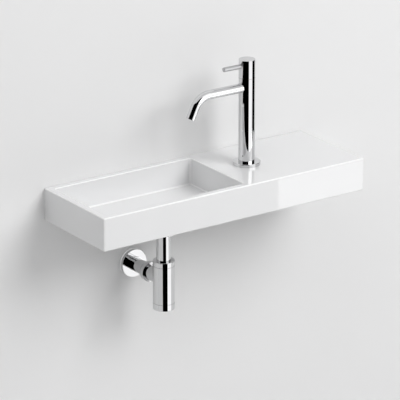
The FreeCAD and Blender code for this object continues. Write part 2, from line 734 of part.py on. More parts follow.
GASKET_BASE = f"({DECK} - deck_thickness - gasket_thickness)"
DECK_WASHER_BASE = f"({GASKET_BASE} - deck_washer_thickness)"
DECK_NUT_BASE = f"({DECK_WASHER_BASE} - deck_nut_height)"
SHANK_BASE = f"({DECK_NUT_BASE} - shank_tail)"
shank_length = f"({DECK} + flange_height + shank_socket - {SHANK_BASE})"
shank_hole = f"({SHANK_RADIUS} + loose_gap)"
tail_end = f"({SHANK_RADIUS} - shank_step)"
tail_shoulder = "(shank_tail - shank_shoulder)"

nodes.append(turned("tap_shank", [("shank_bore / 2", "0"), (tail_end, "0"), (tail_end, tail_shoulder),
                                  (SHANK_RADIUS, tail_shoulder), (SHANK_RADIUS, shank_length),
                                  ("shank_bore / 2", shank_length)],
                    TAP_X, MID_DEPTH, SHANK_BASE))
nodes.append(ring("deck_gasket", shank_hole, "tap_hole_diameter / 2 + gasket_overlap", "gasket_thickness",
                  TAP_X, MID_DEPTH, GASKET_BASE))
nodes.append(ring("deck_washer", shank_hole, "tap_hole_diameter / 2 + deck_washer_overlap",
                  "deck_washer_thickness", TAP_X, MID_DEPTH, DECK_WASHER_BASE))
nodes.append(hexagon_nut("deck_nut", SHANK_RADIUS, "deck_nut_wall", "deck_nut_height",
                         TAP_X, MID_DEPTH, DECK_NUT_BASE))

# Waste: a flanged tail through the bowl's floor, with a screwed-down strainer

flange_base = f"(tail_drop + {WASTE_SEAT} + waste_seal_thickness)"
flange_top = f"({flange_base} + waste_flange_thickness)"
strainer_base = f"({flange_top} - strainer_thickness)"
strainer_recess = "(tail_bore / 2 + strainer_ledge)"
bridge_base = f"({strainer_base} - bridge_height)"
bridge_reach = "(tail_bore / 2 + tail_wall / 2)"
screw_radius = "(screw_diameter / 2)"

waste = turned("waste_body", [("tail_bore / 2", "0"), (TAIL_RADIUS, "0"), (TAIL_RADIUS, flange_base),
                              (WASTE_RADIUS, flange_base), (WASTE_RADIUS, flange_top),
                              (strainer_recess, flange_top), (strainer_recess, strainer_base),
                              ("tail_bore / 2", strainer_base)],
               DRAIN_X, DRAIN_Y, TAIL_BASE)
round_edges(waste, "waste_edge_radius", circle_at(WASTE_RADIUS, flange_top))
bridge = new_sketch(waste, "bridge", "XY_Plane", bridge_base)
draw_rectangle(bridge, f"-{bridge_reach}", bridge_reach, "-bridge_width / 2", "bridge_width / 2")
add(waste, "Pad", bridge, "bridge_bar", Length="bridge_height")
bridge_hole = new_sketch(waste, "bridge_hole", "XY_Plane", bridge_base)
draw_circle(bridge_hole, f"{screw_radius} + close_gap")
add(waste, "Pocket", bridge_hole, "bridge_hole_cut", Length="bridge_height", Reversed=True)
nodes.append(waste)

strainer = new_body("waste_strainer", DRAIN_X, DRAIN_Y, f"{TAIL_BASE} + {strainer_base}")
plate = new_sketch(strainer, "plate", "XY_Plane")
draw_circle(plate, f"{strainer_recess} - close_gap")
draw_circle(plate, f"{screw_radius} + close_gap")
add(strainer, "Pad", plate, "plate_body", Length="strainer_thickness")
opening = new_sketch(strainer, "opening", "XY_Plane")
draw_circle(opening, "strainer_hole / 2", "tail_bore / 2 - strainer_hole_inset")
opening_cut = add(strainer, "Pocket", opening, "opening_cut", Length="strainer_thickness", Reversed=True)
repeat_round(strainer, opening_cut, opening, STRAINER_HOLES)
nodes.append(strainer)

screw_head = f"({screw_radius} + screw_head_overlap)"
screw_top = "(screw_length + screw_head_height)"
screw = turned("strainer_screw", [("0", "0"), (screw_radius, "0"), (screw_radius, "screw_length"),
                                  (screw_head, "screw_length"), (screw_head, screw_top), ("0", screw_top)],
               DRAIN_X, DRAIN_Y, f"{TAIL_BASE} + {flange_top} - screw_length")
slot = new_sketch(screw, "slot", "XY_Plane", screw_top)
draw_rectangle(slot, "-2 * screw_diameter", "2 * screw_diameter", "-screw_slot / 2", "screw_slot / 2")
add(screw, "Pocket", slot, "slot_cut", Length="screw_head_height / 2")
nodes.append(screw)

waste_seal = f"({WASTE_RADIUS} - waste_edge_radius)"
LOWER_SEAL_BASE = f"({UNDERSIDE} - lower_seal_thickness)"
BACK_NUT_BASE = f"({LOWER_SEAL_BASE} - back_nut_height)"
nodes.append(ring("waste_top_seal", f"{WASTE_HOLE_RADIUS} + loose_gap", waste_seal, "waste_seal_thickness",
                  DRAIN_X, DRAIN_Y, f"{UNDERSIDE} + {WASTE_SEAT}"))
nodes.append(ring("waste_lower_seal", f"{TAIL_RADIUS} + loose_gap", waste_seal, "lower_seal_thickness",
                  DRAIN_X, DRAIN_Y, LOWER_SEAL_BASE))
nodes.append(hexagon_nut("waste_back_nut", TAIL_RADIUS, "back_nut_wall", "back_nut_height",
                         DRAIN_X, DRAIN_Y, BACK_NUT_BASE))

# Trap inlet: a union nut on the waste's tail grips the downpipe through a seal

UNION_SEAL_BASE = f"({TAIL_BASE} - union_seal_thickness)"
UNION_BASE = f"({UNION_SEAL_BASE} - union_nut_lip)"
union_height = f"({BACK_NUT_BASE} - union_nut_gap - {UNION_BASE})"
union_thread = f"({TAIL_RADIUS} + close_gap)"
union_radius = f"({union_thread} + union_nut_wall)"
nodes.append(turned("trap_union_nut", [(PIPE_HOLE, "0"), (union_radius, "0"), (union_radius, union_height),
                                       (union_thread, union_height), (union_thread, "union_nut_lip"),
                                       (PIPE_HOLE, "union_nut_lip")],
                    DRAIN_X, DRAIN_Y, UNION_BASE))
nodes.append(ring("trap_union_seal", PIPE_HOLE, f"{union_thread} - loose_gap", "union_seal_thickness",
                  DRAIN_X, DRAIN_Y, UNION_SEAL_BASE))

DIP_END = f"({BOTTLE_BOTTOM} + cap_floor + dip_clearance)"
nodes.append(ring("trap_downpipe", PIPE_BORE, PIPE_RADIUS, f"{TAIL_BASE} + pipe_insert - {DIP_END}",
                  DRAIN_X, DRAIN_Y, DIP_END))

# Trap bottle: a turned cup with a screwed ring nut on top and an outlet socket at the back

shoulder = "(bottle_height - bottle_cap_height - top_nut_height - 2 * seam_gap)"
bottle_top = f"({shoulder} + seam_gap + top_nut_height)"
neck_top = f"({bottle_top} - top_nut_lip - top_seal_thickness)"
neck_bore = f"({PIPE_RADIUS} + neck_gap)"
neck_radius = f"({neck_bore} + neck_wall)"
chamber_top = f"({shoulder} - bottle_shoulder)"
outlet_level = f"({bottle_top} - outlet_below_top)"
boss_end = "(outlet_nut_start + outlet_nut_length - outlet_nut_lip - outlet_seal_thickness)"
boss_radius = f"({PIPE_HOLE} + outlet_boss_wall)"
pipe_stop = f"({boss_end} - outlet_socket)"

bottle = turned("bottle_body", [("0", "0"), (BOTTLE_RADIUS, "0"), (BOTTLE_RADIUS, shoulder),
                                (neck_radius, shoulder), (neck_radius, neck_top), ("0", neck_top)],
                DRAIN_X, DRAIN_Y, f"{BOTTLE_BOTTOM} + bottle_cap_height + seam_gap")
boss = new_sketch(bottle, "boss", "XZ_Plane")
draw_circle(boss, boss_radius, "0", outlet_level)
add(bottle, "Pad", boss, "boss_bar", Length=boss_end, Reversed=True)
spin(bottle, "Groove", "inside", [("0", "0"), (BOTTLE_BORE, "0"), (BOTTLE_BORE, chamber_top),
                                  (neck_bore, chamber_top), (neck_bore, neck_top), ("0", neck_top)])
outlet_bore = new_sketch(bottle, "outlet_bore", "XZ_Plane")
draw_circle(outlet_bore, PIPE_BORE, "0", outlet_level)
add(bottle, "Pocket", outlet_bore, "outlet_bore_cut", Length=boss_end)
pipe_socket = new_sketch(bottle, "pipe_socket", "XZ_Plane", f"-{pipe_stop}")
draw_circle(pipe_socket, PIPE_HOLE, "0", outlet_level)
add(bottle, "Pocket", pipe_socket, "pipe_socket_cut", Length=boss_end)
nodes.append(bottle)

top_nut_bore = f"({neck_radius} + close_gap)"
top_nut_inside = "(top_nut_height - top_nut_lip)"
top_nut = turned("bottle_top_nut", [(top_nut_bore, "0"), (BOTTLE_RADIUS, "0"),
                                    (BOTTLE_RADIUS, "top_nut_height"), (PIPE_HOLE, "top_nut_height"),
                                    (PIPE_HOLE, top_nut_inside), (top_nut_bore, top_nut_inside)],
                 DRAIN_X, DRAIN_Y, f"{BOTTLE_TOP} - top_nut_height")
round_edges(top_nut, "bottle_edge_radius", circle_at(BOTTLE_RADIUS, "top_nut_height"))
nodes.append(top_nut)
nodes.append(ring("bottle_top_seal", PIPE_HOLE, f"{top_nut_bore} - loose_gap", "top_seal_thickness",
                  DRAIN_X, DRAIN_Y, f"{BOTTLE_TOP} - top_nut_lip - top_seal_thickness"))

# Cleaning cap: a screwed plug under the bottle with a ring seal round its thread

plug_radius = f"({BOTTLE_BORE} - loose_gap)"
plug_inside = f"({plug_radius} - cap_plug_wall)"
plug_top = "(bottle_cap_height + cap_plug_length)"
seal_floor = f"({plug_radius} - cap_ring_depth)"
seal_base = "(bottle_cap_height + cap_ring_offset)"
seal_top = f"({seal_base} + cap_ring_height)"

clean_cap = turned("bottle_cap", [("0", "0"), (BOTTLE_RADIUS, "0"), (BOTTLE_RADIUS, "bottle_cap_height"),
                                  (plug_radius, "bottle_cap_height"), (plug_radius, seal_base),
                                  (seal_floor, seal_base), (seal_floor, seal_top), (plug_radius, seal_top),
                                  (plug_radius, plug_top), (plug_inside, plug_top),
                                  (plug_inside, "cap_floor"), ("0", "cap_floor")],
                   DRAIN_X, DRAIN_Y, BOTTLE_BOTTOM)
round_edges(clean_cap, "bottle_edge_radius", circle_at(BOTTLE_RADIUS, "0"))
nodes.append(clean_cap)
nodes.append(ring("cap_seal", f"{seal_floor} + close_gap", f"{BOTTLE_BORE} - 2 * close_gap",
                  "cap_ring_height - 2 * close_gap", DRAIN_X, DRAIN_Y,
                  f"{BOTTLE_BOTTOM} + {seal_base} + close_gap"))

# Trap outlet: a nut on the bottle's socket grips the pipe that runs into the wall

outlet_thread = f"({boss_radius} + close_gap)"
outlet_radius = f"({outlet_thread} + outlet_nut_wall)"
outlet_inside = "(outlet_nut_length - outlet_nut_lip)"
outlet_nut = turned("outlet_nut", [(outlet_thread, "0"), (outlet_radius, "0"),
                                   (outlet_radius, "outlet_nut_length"), (PIPE_HOLE, "outlet_nut_length"),
                                   (PIPE_HOLE, outlet_inside), (outlet_thread, outlet_inside)],
                    DRAIN_X, f"{DRAIN_Y} + outlet_nut_start", OUTLET_HEIGHT, TO_WALL)
round_edges(outlet_nut, "outlet_nut_edge_radius", circle_at(outlet_radius, "outlet_nut_length"))
nodes.append(outlet_nut)
nodes.append(ring("outlet_seal", PIPE_HOLE, f"{outlet_thread} - loose_gap", "outlet_seal_thickness",
                  DRAIN_X, f"{DRAIN_Y} + {boss_end}", OUTLET_HEIGHT, TO_WALL))
pipe_length = f"({TRAP_REACH} - {pipe_stop} + wall_pipe)"
pipe_shoulder = f"({pipe_length} - wall_pipe_end)"
spigot = f"({PIPE_RADIUS} - wall_pipe_step)"
nodes.append(turned("outlet_pipe", [(PIPE_BORE, "0"), (PIPE_RADIUS, "0"), (PIPE_RADIUS, pipe_shoulder),
                                    (spigot, pipe_shoulder), (spigot, pipe_length),
                                    (PIPE_BORE, pipe_length)],
                    DRAIN_X, f"{DRAIN_Y} + {pipe_stop}", OUTLET_HEIGHT, TO_WALL))

# Wall rosette: a shallow cup on the outlet pipe, held by a ring in its collar

rosette_radius = "(rosette_diameter / 2)"
rosette_inside = f"({rosette_radius} - rosette_wall)"
rosette_hole = f"({PIPE_RADIUS} + loose_gap)"
rosette_collar = f"({rosette_hole} + rosette_collar_wall)"
rosette_plate = "(rosette_height - rosette_wall)"
grip_groove = f"({PIPE_RADIUS} + rosette_ring_thickness)"
grip_base = "((rosette_height + rosette_collar_gap - rosette_ring_height) / 2)"
grip_top = f"({grip_base} + rosette_ring_height)"

rosette = turned("wall_rosette", [(rosette_inside, "0"), (rosette_radius, "0"),
                                  (rosette_radius, "rosette_height"), (rosette_hole, "rosette_height"),
                                  (rosette_hole, grip_top), (grip_groove, grip_top),
                                  (grip_groove, grip_base), (rosette_hole, grip_base),
                                  (rosette_hole, "rosette_collar_gap"),
                                  (rosette_collar, "rosette_collar_gap"),
                                  (rosette_collar, rosette_plate), (rosette_inside, rosette_plate)],
                 DRAIN_X, "0", OUTLET_HEIGHT, FROM_WALL)
round_edges(rosette, "rosette_edge_radius", circle_at(rosette_radius, "rosette_height"))
nodes.append(rosette)
nodes.append(ring("rosette_ring", PIPE_HOLE, f"{grip_groove} - close_gap",
                  "rosette_ring_height - 2 * close_gap",
                  DRAIN_X, f"-{grip_base} - close_gap", OUTLET_HEIGHT, FROM_WALL))

# Check every object, then write each piece

doc.recompute()
failed = [item.Name for item in doc.Objects if "Invalid" in item.State or "Error" in item.State]
if failed:
    raise RuntimeError(f"failed objects: {failed}")
for node in nodes:
    if node.Shape.isNull() or not node.Shape.isValid() or not node.Shape.Solids:
        raise RuntimeError(f"bad shape: {node.Label}")

os.makedirs("parts", exist_ok=True)
for node in nodes:
    node.Shape.exportStep(f"parts/{node.Label}.step")
print(f"{len(nodes)} pieces written")
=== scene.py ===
"""Studio picture of a wall-hung hand basin with a pillar tap and a small bottle trap."""
import math

import bmesh
import bpy
import numpy as np
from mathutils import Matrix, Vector


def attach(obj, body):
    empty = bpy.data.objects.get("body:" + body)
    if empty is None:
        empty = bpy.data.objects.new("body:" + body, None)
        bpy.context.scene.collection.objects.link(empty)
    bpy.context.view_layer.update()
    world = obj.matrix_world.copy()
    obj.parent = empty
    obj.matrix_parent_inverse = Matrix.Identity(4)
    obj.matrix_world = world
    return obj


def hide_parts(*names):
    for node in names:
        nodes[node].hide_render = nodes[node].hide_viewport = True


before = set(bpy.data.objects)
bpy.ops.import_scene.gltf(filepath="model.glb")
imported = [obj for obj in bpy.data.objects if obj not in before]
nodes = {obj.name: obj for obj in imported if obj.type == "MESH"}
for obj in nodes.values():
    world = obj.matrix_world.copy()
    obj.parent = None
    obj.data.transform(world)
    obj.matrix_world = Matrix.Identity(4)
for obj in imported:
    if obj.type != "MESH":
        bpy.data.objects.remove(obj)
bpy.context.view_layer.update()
scene = bpy.context.scene
scene.view_settings.view_transform = "Standard"

# Camera
# A long lens at the left front that looks down on the basin, so that its edges stay almost parallel.
# Turn, tilt, distance and aim are those at which the solids lie over the photographed basin.

TURN = math.radians(34.64)
TILT = math.radians(19.84)
DISTANCE = 5.947
AIM = Vector((-0.1634, -0.0944, -0.0142))
LENS = 300
SIGHT = 100

forward = Vector((math.sin(TURN) * math.cos(TILT), math.cos(TURN) * math.cos(TILT), -math.sin(TILT)))
camera = bpy.data.objects.new("camera", bpy.data.cameras.new("camera"))
camera.data.lens = LENS
camera.data.clip_end = SIGHT
camera.location = AIM - forward * DISTANCE
camera.rotation_euler = forward.to_track_quat("-Z", "Y").to_euler()
scene.collection.objects.link(camera)
scene.camera = camera

# Ceramic basin
# One slip-cast fireclay body under a smooth white glaze. Its rounded edges, outside and in the bowl, are
# painted whiter as painted highlight lines. It hangs on two wall studs and carries the tap on the flat deck
# to the right of the bowl.

NOISE_LOW = 0.3
NOISE_HIGH = 0.7


def drift_group():
    """Noise over the surface, most of which lies between two levels, spread between a low and a high value:
    value = low + (high - low) * (noise - lower level) / (upper level - lower level)."""
    group = bpy.data.node_groups.new("surface_drift", "ShaderNodeTree")
    group.interface.new_socket("Vector", in_out="INPUT", socket_type="NodeSocketVector")
    for name in ("Scale", "Detail", "Low", "High"):
        group.interface.new_socket(name, in_out="INPUT", socket_type="NodeSocketFloat")
    group.interface.new_socket("Value", in_out="OUTPUT", socket_type="NodeSocketFloat")
    entry = group.nodes.new("NodeGroupInput")
    leave = group.nodes.new("NodeGroupOutput")
    noise = group.nodes.new("ShaderNodeTexNoise")
    spread = group.nodes.new("ShaderNodeMapRange")
    spread.inputs["From Min"].default_value = NOISE_LOW
    spread.inputs["From Max"].default_value = NOISE_HIGH
    for name in ("Vector", "Scale", "Detail"):
        group.links.new(entry.outputs[name], noise.inputs[name])
    group.links.new(noise.outputs["Fac"], spread.inputs["Value"])
    group.links.new(entry.outputs["Low"], spread.inputs["To Min"])
    group.links.new(entry.outputs["High"], spread.inputs["To Max"])
    group.links.new(spread.outputs["Result"], leave.inputs["Value"])
    return group


surface_drift = drift_group()


class Finish:
    """A material in the making: its shader, and drifting values and colours for the shader's sockets."""

    def __init__(self, name, **plain):
        """Plain values are given by the names of the shader's sockets, with _ for a space."""
        self.material = bpy.data.materials.new(name)
        self.material.use_nodes = True
        self.tree = self.material.node_tree
        self.shader = self.tree.nodes["Principled BSDF"]
        coordinates = self.tree.nodes.new("ShaderNodeTexCoord")
        self.place = coordinates.outputs["Object"]
        self.normal = coordinates.outputs["Normal"]
        for socket, value in plain.items():
            self.shader.inputs[socket.replace("_", " ")].default_value = value

    def stretched(self, scale):
        """The place on the surface, scaled along each axis, for grain that runs one way."""
        mapping = self.tree.nodes.new("ShaderNodeMapping")
        mapping.inputs["Scale"].default_value = scale
        self.tree.links.new(self.place, mapping.inputs["Vector"])
        return mapping.outputs["Vector"]

    def drift(self, scale, low=0.0, high=1.0, detail=2.0, place=None):
        """A value that wanders from low to high over the surface, with about scale patches in a metre."""
        node = self.tree.nodes.new("ShaderNodeGroup")
        node.node_tree = surface_drift
        self.tree.links.new(place or self.place, node.inputs["Vector"])
        for socket, value in (("Scale", scale), ("Detail", detail), ("Low", low), ("High", high)):
            node.inputs[socket].default_value = value
        return node.outputs["Value"]

    def tones(self, share, first, second):
        """Base colour that goes from the first tone to the second with a share from 0 to 1. The first may
        also be a colour that is already made."""
        mix = self.tree.nodes.new("ShaderNodeMix")
        mix.data_type = "RGBA"
        if isinstance(first, tuple):
            mix.inputs["A"].default_value = (*first, 1)
        else:
            self.tree.links.new(first, mix.inputs["A"])
        mix.inputs["B"].default_value = (*second, 1)
        self.tree.links.new(share, mix.inputs["Factor"])
        self.feed("Base Color", mix.outputs["Result"])
        return mix.outputs["Result"]

    def feed(self, socket, value):
        """Link a value to one of the shader's sockets."""
        self.tree.links.new(value, self.shader.inputs[socket])

    def bump(self, height, depth):
        """Small relief whose height, from 0 to 1, stands for a real depth in metres."""
        node = self.tree.nodes.new("ShaderNodeBump")
        node.inputs["Distance"].default_value = depth
        self.tree.links.new(height, node.inputs["Height"])
        self.feed("Normal", node.outputs["Normal"])


def dress(finish, *names):
    """Put a material on carried-over pieces."""
    for name in names:
        mesh = nodes[name].data
        mesh.materials.clear()
        mesh.materials.append(finish.material)


def calculate(tree, operation, first, second):
    """The result of a Math node on two values, each of them a node's output or a plain number."""
    node = tree.nodes.new("ShaderNodeMath")
    node.operation = operation
    for socket, value in zip(node.inputs, (first, second)):
        if isinstance(value, float):
            socket.default_value = value
        else:
            tree.links.new(value, socket)
    return node.outputs[0]


def edge_highlight_share(finish, full):
    """A share: 0 on sides square to an axis, and 1 where the normal's largest part has sunk to full."""
    tree = finish.tree
    plain = tree.nodes.new("ShaderNodeVectorMath")
    plain.operation = "ABSOLUTE"
    tree.links.new(finish.normal, plain.inputs[0])
    parts = tree.nodes.new("ShaderNodeSeparateXYZ")
    tree.links.new(plain.outputs["Vector"], parts.inputs["Vector"])
    larger = calculate(tree, "MAXIMUM", parts.outputs["X"], parts.outputs["Y"])
    largest = calculate(tree, "MAXIMUM", larger, parts.outputs["Z"])
    share = tree.nodes.new("ShaderNodeMapRange")
    share.inputs["From Min"].default_value = 1.0
    share.inputs["From Max"].default_value = full
    tree.links.new(largest, share.inputs["Value"])
    return share.outputs["Result"]


MM = 0.001

glaze = Finish("white_glaze", IOR=1.5)
flat_tone = glaze.tones(glaze.drift(7.0), (0.81, 0.812, 0.815), (0.79, 0.793, 0.798))
# Painted highlight: rounded edges, convex and concave, are whitened in the base colour to stand for
# highlight lines.
glaze.tones(edge_highlight_share(glaze, full=0.9), flat_tone, (0.95, 0.95, 0.95))
glaze.feed("Roughness", glaze.drift(40.0, low=0.012, high=0.03))
glaze.bump(glaze.drift(28.0, detail=0.0), depth=0.02 * MM)
dress(glaze, "basin_body")

# Wall fixings
# Two zinc-plated hanger studs with a rolled metric thread for the nut and a coarse thread for the wall plug.
# On each, a moulded sleeve sits in the basin's back, under a stamped washer and a hexagon nut.

STUD_SPREAD = 85 * MM
STUD_RADIUS = 5 * MM
STUD_START = -36 * MM
STUD_NECK = 3 * MM
STUD_END = 58 * MM
STUD_TIP = 1.5 * MM
STUD_PITCH = 1.5 * MM
STUD_THREAD = 0.9 * MM
ANCHOR_RADIUS = 4.7 * MM
ANCHOR_PITCH = 4 * MM
ANCHOR_THREAD = 1.2 * MM
STUD_NUT_FLATS = 17 * MM
STUD_NUT_FACES = (-26 * MM, -18 * MM)
STUD_POINTS = 32
STEP_RUN = 0.1 * MM
THREAD_FLAT = 0.15
THREAD_ROWS = 10
NUT_POINTS = 96
NUT_ROWS = 17
FLAT_ANGLE = math.radians(60)
CHAMFER_START = 0.97
CHAMFER_ANGLE = math.radians(30)
SHARP_ANGLE = math.radians(35)
SAME_POINT = 1e-7


def about_axis(radius, along, angle, centre, axis):
    """Points at a radius and an angle round an axis and at a place along it. Axis Z stands up, and axis Y
    runs into the wall, so there the second direction across is turned to point down."""
    radius, along, angle = np.broadcast_arrays(radius, along, angle)
    across = radius * np.cos(angle)
    aside = radius * np.sin(angle)
    if axis == "Z":
        return np.stack([centre[0] + across, centre[1] + aside, along], axis=-1)
    return np.stack([centre[0] + across, along, centre[1] - aside], axis=-1)


def around(count):
    """Angles once round an axis, as one row, without the last one that would repeat the first."""
    return np.linspace(0, 2 * np.pi, count, endpoint=False)[None, :]


def build(name, grids, finish, node, body, hollow=True):
    """One piece from grids of points. Each row of a grid closes on itself, and the last row of a hollow
    piece meets the first again, while a full piece starts and ends in a point on its axis."""
    corners = []
    first = 0
    for grid in grids:
        rows, columns = grid.shape[:2]
        here = first + np.arange(rows * columns).reshape(rows, columns)
        beside = np.roll(here, -1, axis=1)
        square = np.stack([here, beside, np.roll(beside, -1, axis=0), np.roll(here, -1, axis=0)], axis=-1)
        corners.append((square if hollow else square[:-1]).reshape(-1, 4))
        first += rows * columns
    mesh = bpy.data.meshes.new(name)
    points = np.concatenate([grid.reshape(-1, 3) for grid in grids])
    mesh.from_pydata(points.tolist(), [], np.concatenate(corners).tolist())
    shell = bmesh.new()
    shell.from_mesh(mesh)
    bmesh.ops.remove_doubles(shell, verts=shell.verts, dist=SAME_POINT)
    shell.to_mesh(mesh)
    shell.free()
    mesh.shade_smooth()
    mesh.set_sharp_from_angle(angle=SHARP_ANGLE)
    mesh.materials.append(finish.material)
    piece = bpy.data.objects.new(name, mesh)
    scene.collection.objects.link(piece)
    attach(piece, body)
    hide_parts(node)


def turned(along, *corners):
    """Radius at a place along an axis, straight between corners that are pairs of a place and a radius."""
    return np.interp(along, *zip(*corners))


def groove(along, angle, pitch, depth):
    """How deep a right-hand thread lies under its crest: the share of a turn left over from along / pitch
    minus angle / full turn gives a zigzag from crest to root and back, flattened at both ends."""
    share = (along / pitch - angle / (2 * np.pi)) % 1.0
    zigzag = np.abs(2 * share - 1)
    return depth * (1 - np.clip((zigzag - THREAD_FLAT) / (1 - 2 * THREAD_FLAT), 0, 1))


def wall_stud(x):
    """A bar whose radius is that of its outline, chamfered at the front and pointed at the back, less the
    groove of the thread at that place. The wall end has the coarser thread."""
    angle = around(STUD_POINTS)
    along = np.arange(STUD_START, STUD_END, STUD_PITCH / THREAD_ROWS)[:, None]
    outline = turned(along,
                     (STUD_START, STUD_RADIUS - STUD_TIP),
                     (STUD_START + STUD_TIP, STUD_RADIUS),
                     (STUD_NECK, STUD_RADIUS),
                     (STUD_NECK + STEP_RUN, ANCHOR_RADIUS),
                     (STUD_END - 2 * STUD_TIP, ANCHOR_RADIUS),
                     (STUD_END, ANCHOR_RADIUS - STUD_TIP))
    fine = groove(along, angle, STUD_PITCH, STUD_THREAD)
    coarse = groove(along, angle, ANCHOR_PITCH, ANCHOR_THREAD)
    radius = outline - np.where(along < STUD_NECK, fine, coarse)
    side = about_axis(radius, along, angle, (x, 0), "Y")
    front = about_axis(0, STUD_START, angle, (x, 0), "Y")
    back = about_axis(0, STUD_END, angle, (x, 0), "Y")
    return np.concatenate([front, side, back])


def hexagon_nut(bore, flats, low, high, centre, axis):
    """A nut. The side's radius is half the width across flats over the cosine of the angle to the nearest
    flat's middle, and near the faces at most that of a cone that rises from just inside the flats."""
    angle = around(NUT_POINTS)
    to_flat = (angle + FLAT_ANGLE / 2) % FLAT_ANGLE - FLAT_ANGLE / 2
    hexagon = flats / 2 / np.cos(to_flat)
    along = low + (high - low) * (1 - np.cos(np.linspace(0, np.pi, NUT_ROWS)[:, None])) / 2
    from_face = np.minimum(along - low, high - along)
    cone = CHAMFER_START * flats / 2 + from_face / math.tan(CHAMFER_ANGLE)
    side = about_axis(np.minimum(hexagon, cone), along, angle, centre, axis)
    hole = about_axis(bore, np.array([[high], [low]]), angle, centre, axis)
    return np.concatenate([side, hole])


zinc = Finish("zinc_steel", Metallic=1.0)
zinc.tones(zinc.drift(160.0), (0.60, 0.61, 0.63), (0.52, 0.53, 0.54))
zinc.feed("Roughness", zinc.drift(300.0, low=0.26, high=0.42))
zinc.bump(zinc.drift(900.0), depth=0.01 * MM)
plastic = Finish("white_plastic", IOR=1.46)
plastic.tones(plastic.drift(60.0), (0.78, 0.78, 0.76), (0.73, 0.73, 0.71))
plastic.feed("Roughness", plastic.drift(200.0, low=0.34, high=0.46))
plastic.bump(plastic.drift(1500.0), depth=0.01 * MM)

stud_places = (-STUD_SPREAD, STUD_SPREAD)
stud_bars = [wall_stud(x) for x in stud_places]
stud_nuts = [hexagon_nut(STUD_RADIUS, STUD_NUT_FLATS, *STUD_NUT_FACES, (x, 0), "Y") for x in stud_places]
build("threaded_studs", stud_bars, zinc, "wall_studs", "fixed", hollow=False)
build("stud_hexagons", stud_nuts, zinc, "stud_nuts", "fixed")
dress(zinc, "stud_washers")
dress(plastic, "stud_sleeves")

# Tap fixing
# A brass shank, bored for the water and threaded outside, screws into the tap's column and hangs through the
# deck. A brass nut pulls it down from inside the hollow, on a steel washer and a rubber gasket.

TAP_AXIS = (-63 * MM, -96 * MM)
SHANK_RADIUS = 10.65 * MM
SHANK_TAIL_RADIUS = 10.45 * MM
SHANK_BORE = 6 * MM
SHANK_LOW = -21 * MM
SHANK_SHOULDER = 8 * MM
SHANK_HIGH = 53 * MM
SHANK_CHAMFER = 0.8 * MM
SHANK_PITCH = 1.5 * MM
SHANK_THREAD = 0.8 * MM
SHANK_POINTS = 40
DECK_NUT_FLATS = 27.1 * MM
DECK_NUT_FACES = (10 * MM, 18 * MM)


def threaded_shank():
    """A tube. Outside, the radius is the outline's, chamfered at both ends, less the thread's groove, and
    inside, it is the plain bore."""
    angle = around(SHANK_POINTS)
    along = np.arange(SHANK_LOW, SHANK_HIGH, SHANK_PITCH / THREAD_ROWS)[:, None]
    outline = turned(along,
                     (SHANK_LOW, SHANK_TAIL_RADIUS - SHANK_CHAMFER),
                     (SHANK_LOW + SHANK_CHAMFER, SHANK_TAIL_RADIUS),
                     (SHANK_SHOULDER, SHANK_TAIL_RADIUS),
                     (SHANK_SHOULDER + STEP_RUN, SHANK_RADIUS),
                     (SHANK_HIGH - SHANK_CHAMFER, SHANK_RADIUS),
                     (SHANK_HIGH, SHANK_RADIUS - SHANK_CHAMFER))
    thread = groove(along, angle, SHANK_PITCH, SHANK_THREAD)
    outside = about_axis(outline - thread, along, angle, TAP_AXIS, "Z")
    inside = about_axis(SHANK_BORE, np.array([[SHANK_HIGH], [SHANK_LOW]]), angle, TAP_AXIS, "Z")
    return np.concatenate([outside, inside])


brass = Finish("turned_brass", Metallic=1.0)
brass.tones(brass.drift(90.0), (0.74, 0.56, 0.27), (0.64, 0.47, 0.22))
brass.feed("Roughness", brass.drift(220.0, low=0.20, high=0.34))
brass.bump(brass.drift(1.0, place=brass.stretched((60, 60, 2600))), depth=0.008 * MM)
rubber = Finish("black_rubber", IOR=1.5)
rubber.tones(rubber.drift(150.0), (0.020, 0.020, 0.021), (0.032, 0.032, 0.033))
rubber.feed("Roughness", rubber.drift(400.0, low=0.58, high=0.78))
rubber.bump(rubber.drift(1800.0), depth=0.02 * MM)

deck_nut = hexagon_nut(SHANK_RADIUS, DECK_NUT_FLATS, *DECK_NUT_FACES, TAP_AXIS, "Z")
build("shank_thread", [threaded_shank()], brass, "tap_shank", "fixed")
build("deck_hexagon", [deck_nut], brass, "deck_nut", "fixed")
dress(zinc, "deck_washer")
dress(rubber, "deck_gasket")

# Tap foot and column
# A turned foot with a ring seal pressed in its underside, and a bored bar on it. Both are brass, polished
# and plated with bright chrome, which mirrors the room in crisp bands.

FOOT_SEAL_RADII = (19.25 * MM, 22.75 * MM)
FOOT_SEAL_FACES = (35 * MM, 37 * MM)
SEAL_POINTS = 96
SEAL_ROWS = 24


def signed_root(value):
    """The square root of a value's size, with the value's sign. It turns a circle into a rounded square."""
    return np.sign(value) * np.sqrt(np.abs(value))


def ring_seal(radii, faces, centre, axis):
    """A moulded ring: a rounded square carried round an axis. Its half width and half height go with the
    signed square roots of the cosine and the sine of the way round the section."""
    angle = around(SEAL_POINTS)
    way = around(SEAL_ROWS).T
    radius = np.mean(radii) + np.ptp(radii) / 2 * signed_root(np.cos(way))
    along = np.mean(faces) + np.ptp(faces) / 2 * signed_root(np.sin(way))
    return about_axis(radius, along, angle, centre, axis)


chrome = Finish("bright_chrome", Metallic=1.0)
chrome.tones(chrome.drift(25.0), (0.72, 0.722, 0.728), (0.69, 0.692, 0.698))
chrome.feed("Roughness", chrome.drift(120.0, low=0.015, high=0.04))

foot_seal = ring_seal(FOOT_SEAL_RADII, FOOT_SEAL_FACES, TAP_AXIS, "Z")
build("foot_ring", [foot_seal], rubber, "base_seal", "fixed")
dress(chrome, "base_flange", "tap_body")

# Spout
# One brass tube let into the column's side, drawn round a former, cut square, rounded over at the cut and
# chromed. A moulded flow straightener with a ring of jets is pushed into its end.

